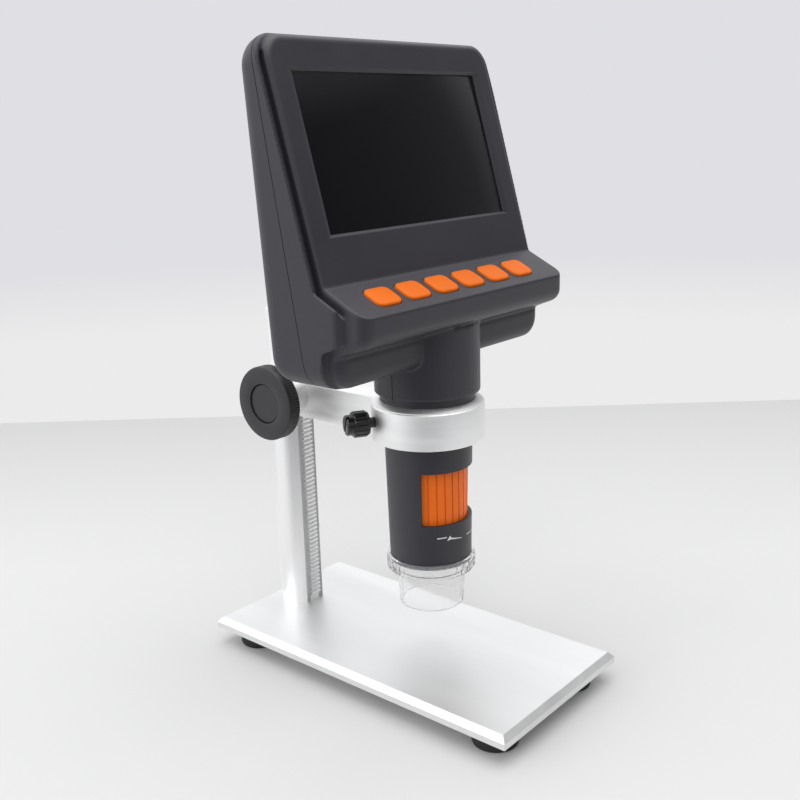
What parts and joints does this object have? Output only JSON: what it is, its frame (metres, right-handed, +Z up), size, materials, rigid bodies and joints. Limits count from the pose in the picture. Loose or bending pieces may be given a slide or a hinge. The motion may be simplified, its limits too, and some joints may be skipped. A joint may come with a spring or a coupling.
{
  "type": "lcd digital microscope",
  "caption": "Screen microscope on a rack-and-pinion stand: metal plate and post, sliding arm with a clamp ring, tilted screen housing with push buttons, focus barrel.",
  "frame": {"origin": "on the table, under the middle of the plate", "axes": "+X across the plate to the user's right, -Y the side the screen faces, +Z up"},
  "size_m": [0.125, 0.15, 0.2449],
  "materials": {
    "plate": "satin anodised",
    "post": "satin anodised",
    "arm": "satin anodised",
    "rack_metal": "milled",
    "steel": "machined",
    "foot_rubber": "matt",
    "knob_black": "knurled",
    "screw_black": "coarse flutes",
    "housing": "fine texture",
    "cover": "dark clear",
    "display": "smooth",
    "board": "solder mask",
    "cell": "wrapped",
    "button_orange": "satin",
    "wheel_orange": "ribbed rubbery",
    "socket_metal": "plated",
    "carrier_black": "blackened",
    "lens": "polished",
    "lamp": "moulded",
    "lamp_board": "solder mask",
    "clear": "moulded clear"
  },
  "bodies": {
    "stand": {"base_plate": "plate", "rubber_feet": "foot_rubber", "foot_screws": "steel", "column": "post", "rack": "rack_metal", "column_screws": "steel"},
    "holder": {"holder_arm": "arm", "shaft_bushing": "carrier_black"},
    "height_drive": {"pinion_shaft": "steel", "height_knob": "knob_black", "knob_cap": "knob_black", "shaft_clip": "steel"},
    "clamp_screw": {"thumb_screw": "screw_black"},
    "microscope": {"front_shell": "housing", "rear_shell": "housing", "screen_window": "cover", "display_panel": "display", "main_board": "board", "battery": "cell", "switch_board": "board", "usb_socket": "socket_metal", "card_socket": "socket_metal", "shell_screws": "steel", "board_screws": "steel", "barrel": "housing", "sensor_board": "board", "led_holder": "carrier_black", "led_board": "lamp_board", "leds": "lamp"},
    "wheel": {"focus_wheel": "wheel_orange"},
    "lens_group": {"lens_carrier": "carrier_black", "objective_lens": "lens"},
    "skirt": {"clear_skirt": "clear"},
    "power_button_body": {"power_button": "button_orange"},
    "menu_button_body": {"menu_button": "button_orange"},
    "capture_button_body": {"capture_button": "button_orange"},
    "up_button_body": {"up_button": "button_orange"},
    "down_button_body": {"down_button": "button_orange"},
    "play_button_body": {"play_button": "button_orange"}
  },
  "joints": [
    {"name": "height_slide", "type": "slide", "parent": "stand", "child": "holder", "axis": [0, 0, 1], "range_m": [-0.019, 0.026]},
    {"name": "height_knob_turn", "type": "hinge", "parent": "holder", "child": "height_drive", "pos_m": [0, 0.0485, 0.109], "axis": [1, 0, 0], "range_deg": [-356, 261]},
    {"name": "clamp_screw_turn", "type": "hinge", "parent": "holder", "child": "clamp_screw", "pos_m": [0, -0.0138, 0.108], "axis": [-0.866, 0.5, 0], "range_deg": [-180, 180]},
    {"name": "head_swivel", "type": "hinge", "parent": "holder", "child": "microscope", "pos_m": [0, -0.0138, 0.107], "axis": [0, 0, 1], "range_deg": [-60, 60]},
    {"name": "focus_turn", "type": "hinge", "parent": "microscope", "child": "wheel", "pos_m": [0, -0.0138, 0.0793], "axis": [0, 0, 1], "range_deg": [-150, 150]},
    {"name": "lens_slide", "type": "slide", "parent": "microscope", "child": "lens_group", "axis": [0, 0, 1], "range_m": [-0.004, 0.004]},
    {"name": "skirt_twist", "type": "hinge", "parent": "microscope", "child": "skirt", "pos_m": [0, -0.0138, 0.05], "axis": [0, 0, 1], "range_deg": [0, 25]},
    {"name": "power_button_press", "type": "slide", "parent": "microscope", "child": "power_button_body", "axis": [0, 0.454, -0.891], "range_m": [0, 0.0008], "stiffness_N_per_m": 1200},
    {"name": "menu_button_press", "type": "slide", "parent": "microscope", "child": "menu_button_body", "axis": [0, 0.454, -0.891], "range_m": [0, 0.0008], "stiffness_N_per_m": 1200},
    {"name": "capture_button_press", "type": "slide", "parent": "microscope", "child": "capture_button_body", "axis": [0, 0.454, -0.891], "range_m": [0, 0.0008], "stiffness_N_per_m": 1200},
    {"name": "up_button_press", "type": "slide", "parent": "microscope", "child": "up_button_body", "axis": [0, 0.454, -0.891], "range_m": [0, 0.0008], "stiffness_N_per_m": 1200},
    {"name": "down_button_press", "type": "slide", "parent": "microscope", "child": "down_button_body", "axis": [0, 0.454, -0.891], "range_m": [0, 0.0008], "stiffness_N_per_m": 1200},
    {"name": "play_button_press", "type": "slide", "parent": "microscope", "child": "play_button_body", "axis": [0, 0.454, -0.891], "range_m": [0, 0.0008], "stiffness_N_per_m": 1200}
  ],
  "couplings": [
    {"joint": "height_knob_turn", "follows": "height_slide", "rad_per_m": -238.09},
    {"joint": "focus_turn", "follows": "lens_slide", "rad_per_m": 650}
  ]
}
